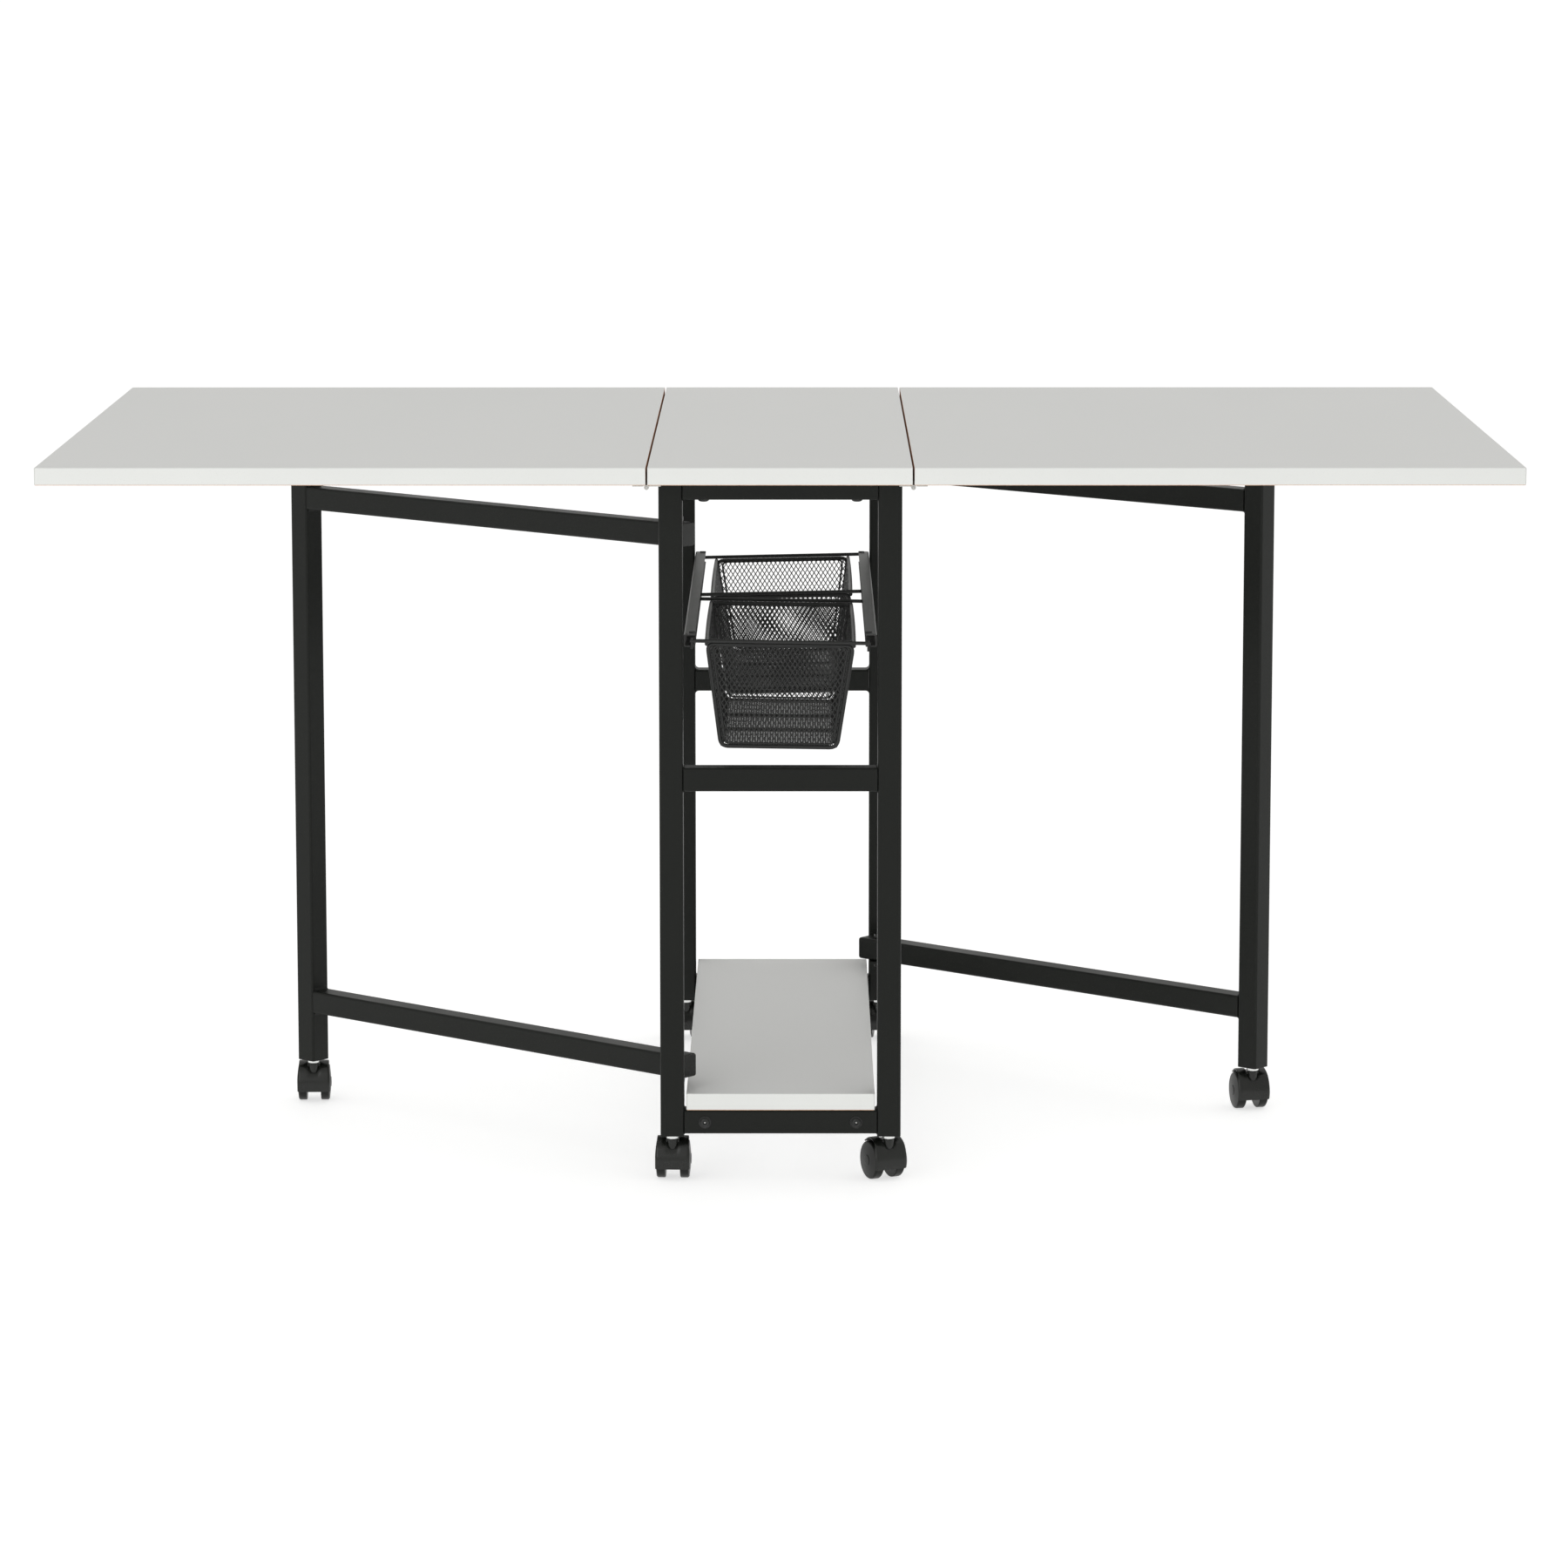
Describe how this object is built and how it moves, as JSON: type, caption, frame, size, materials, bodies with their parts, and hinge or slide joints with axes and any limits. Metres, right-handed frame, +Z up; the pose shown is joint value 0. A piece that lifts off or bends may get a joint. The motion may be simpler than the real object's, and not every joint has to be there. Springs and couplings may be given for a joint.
{
  "type": "sewing table",
  "caption": "Drop-leaf sewing table on a narrow rolling square-tube frame, with swing-out gate legs, sliding mesh baskets and a bottom shelf.",
  "frame": {"origin": "on the floor under the middle of the table top", "axes": "+X to the right across the leaves, +Y from the front of the table to its back, +Z up"},
  "size_m": [1.524, 0.914, 0.771],
  "materials": {
    "laminate": "white laminated particle board, satin",
    "powder_coat": "fine-textured black powder coat on steel",
    "nylon": "moulded black nylon, satin",
    "zinc": "zinc plated",
    "steel": "nickel plated steel"
  },
  "bodies": {
    "root": {"centre_top": "laminate", "left_hinge_fixed_plate": "steel", "left_hinge_pin": "steel", "right_hinge_fixed_plate": "steel", "right_hinge_pin": "steel", "front_left_post": "powder_coat", "front_right_post": "powder_coat", "front_top_rail": "powder_coat", "front_mid_rail": "powder_coat", "front_bottom_rail": "powder_coat", "back_left_post": "powder_coat", "back_right_post": "powder_coat", "back_top_rail": "powder_coat", "back_mid_rail": "powder_coat", "back_bottom_rail": "powder_coat", "left_top_rail": "powder_coat", "left_bottom_rail": "powder_coat", "left_basket_runner": "powder_coat", "right_top_rail": "powder_coat", "right_bottom_rail": "powder_coat", "right_basket_runner": "powder_coat", "bottom_shelf": "laminate", "left_upper_pivot_bracket": "powder_coat", "left_upper_pivot_bolt": "steel", "left_lower_pivot_bracket": "powder_coat", "left_lower_pivot_bolt": "steel", "right_upper_pivot_bracket": "powder_coat", "right_upper_pivot_bolt": "steel", "right_lower_pivot_bracket": "powder_coat", "right_lower_pivot_bolt": "steel", "front_left_caster_stem": "zinc", "front_right_caster_stem": "zinc", "back_left_caster_stem": "zinc", "back_right_caster_stem": "zinc"},
    "left_leaf": {"left_leaf": "laminate", "left_hinge_leaf_plate": "steel"},
    "left_gate": {"left_gate_leg": "powder_coat", "left_gate_upper_rail": "powder_coat", "left_gate_lower_rail": "powder_coat", "left_gate_caster_stem": "zinc"},
    "right_leaf": {"right_leaf": "laminate", "right_hinge_leaf_plate": "steel"},
    "right_gate": {"right_gate_leg": "powder_coat", "right_gate_upper_rail": "powder_coat", "right_gate_lower_rail": "powder_coat", "right_gate_caster_stem": "zinc"},
    "front_basket": {"front_basket": "powder_coat"},
    "back_basket": {"back_basket": "powder_coat"},
    "front_left_caster_swivel": {"front_left_caster_hood": "nylon"},
    "front_left_caster_wheels": {"front_left_caster_wheels": "nylon"},
    "front_right_caster_swivel": {"front_right_caster_hood": "nylon"},
    "front_right_caster_wheels": {"front_right_caster_wheels": "nylon"},
    "back_left_caster_swivel": {"back_left_caster_hood": "nylon"},
    "back_left_caster_wheels": {"back_left_caster_wheels": "nylon"},
    "back_right_caster_swivel": {"back_right_caster_hood": "nylon"},
    "back_right_caster_wheels": {"back_right_caster_wheels": "nylon"},
    "left_gate_caster_swivel": {"left_gate_caster_hood": "nylon"},
    "left_gate_caster_wheels": {"left_gate_caster_wheels": "nylon"},
    "right_gate_caster_swivel": {"right_gate_caster_hood": "nylon"},
    "right_gate_caster_wheels": {"right_gate_caster_wheels": "nylon"}
  },
  "joints": [
    {"name": "left_leaf_hinge", "type": "hinge", "parent": "root", "child": "left_leaf", "pos_m": [-0.1365, 0, 0.7504], "axis": [0, 1, 0], "range_deg": [0, 4]},
    {"name": "left_gate_swing", "type": "hinge", "parent": "root", "child": "left_gate", "pos_m": [-0.1145, -0.294, 0.35], "axis": [0, 0, 1], "range_deg": [-49, 40.7]},
    {"name": "right_leaf_hinge", "type": "hinge", "parent": "root", "child": "right_leaf", "pos_m": [0.1365, 0, 0.7504], "axis": [0, -1, 0], "range_deg": [0, 4]},
    {"name": "right_gate_swing", "type": "hinge", "parent": "root", "child": "right_gate", "pos_m": [0.1145, 0.373, 0.35], "axis": [0, 0, 1], "range_deg": [-49, 40.7]},
    {"name": "front_basket_slide", "type": "slide", "parent": "root", "child": "front_basket", "axis": [0, -1, 0], "range_m": [0, 0.25]},
    {"name": "back_basket_slide", "type": "slide", "parent": "root", "child": "back_basket", "axis": [0, 1, 0], "range_m": [0, 0.25]},
    {"name": "front_left_swivel", "type": "hinge", "parent": "root", "child": "front_left_caster_swivel", "pos_m": [-0.1145, -0.3355, 0.0495], "axis": [0, 0, 1], "continuous": true},
    {"name": "front_left_roll", "type": "hinge", "parent": "front_left_caster_swivel", "child": "front_left_caster_wheels", "pos_m": [-0.11401, -0.32151, 0.0205], "axis": [0.9994, -0.0349, 0], "continuous": true},
    {"name": "front_right_swivel", "type": "hinge", "parent": "root", "child": "front_right_caster_swivel", "pos_m": [0.1145, -0.3355, 0.0495], "axis": [0, 0, 1], "continuous": true},
    {"name": "front_right_roll", "type": "hinge", "parent": "front_right_caster_swivel", "child": "front_right_caster_wheels", "pos_m": [0.10836, -0.32292, 0.0205], "axis": [0.8988, 0.4384, 0], "continuous": true},
    {"name": "back_left_swivel", "type": "hinge", "parent": "root", "child": "back_left_caster_swivel", "pos_m": [-0.1145, 0.4145, 0.0495], "axis": [0, 0, 1], "continuous": true},
    {"name": "back_left_roll", "type": "hinge", "parent": "back_left_caster_swivel", "child": "back_left_caster_wheels", "pos_m": [-0.11645, 0.42836, 0.0205], "axis": [0.9903, 0.1392, 0], "continuous": true},
    {"name": "back_right_swivel", "type": "hinge", "parent": "root", "child": "back_right_caster_swivel", "pos_m": [0.1145, 0.4145, 0.0495], "axis": [0, 0, 1], "continuous": true},
    {"name": "back_right_roll", "type": "hinge", "parent": "back_right_caster_swivel", "child": "back_right_caster_wheels", "pos_m": [0.11596, 0.42842, 0.0205], "axis": [0.9945, -0.1045, 0], "continuous": true},
    {"name": "left_gate_swivel", "type": "hinge", "parent": "left_gate", "child": "left_gate_caster_swivel", "pos_m": [-0.52692, 0.06074, 0.0495], "axis": [0, 0, 1], "continuous": true},
    {"name": "left_gate_roll", "type": "hinge", "parent": "left_gate_caster_swivel", "child": "left_gate_caster_wheels", "pos_m": [-0.52741, 0.07473, 0.0205], "axis": [0.9994, 0.0349, 0], "continuous": true},
    {"name": "right_gate_swivel", "type": "hinge", "parent": "right_gate", "child": "right_gate_caster_swivel", "pos_m": [0.52692, 0.01826, 0.0495], "axis": [0, 0, 1], "continuous": true},
    {"name": "right_gate_roll", "type": "hinge", "parent": "right_gate_caster_swivel", "child": "right_gate_caster_wheels", "pos_m": [0.52378, 0.0319, 0.0205], "axis": [0.9744, 0.225, 0], "continuous": true}
  ]
}
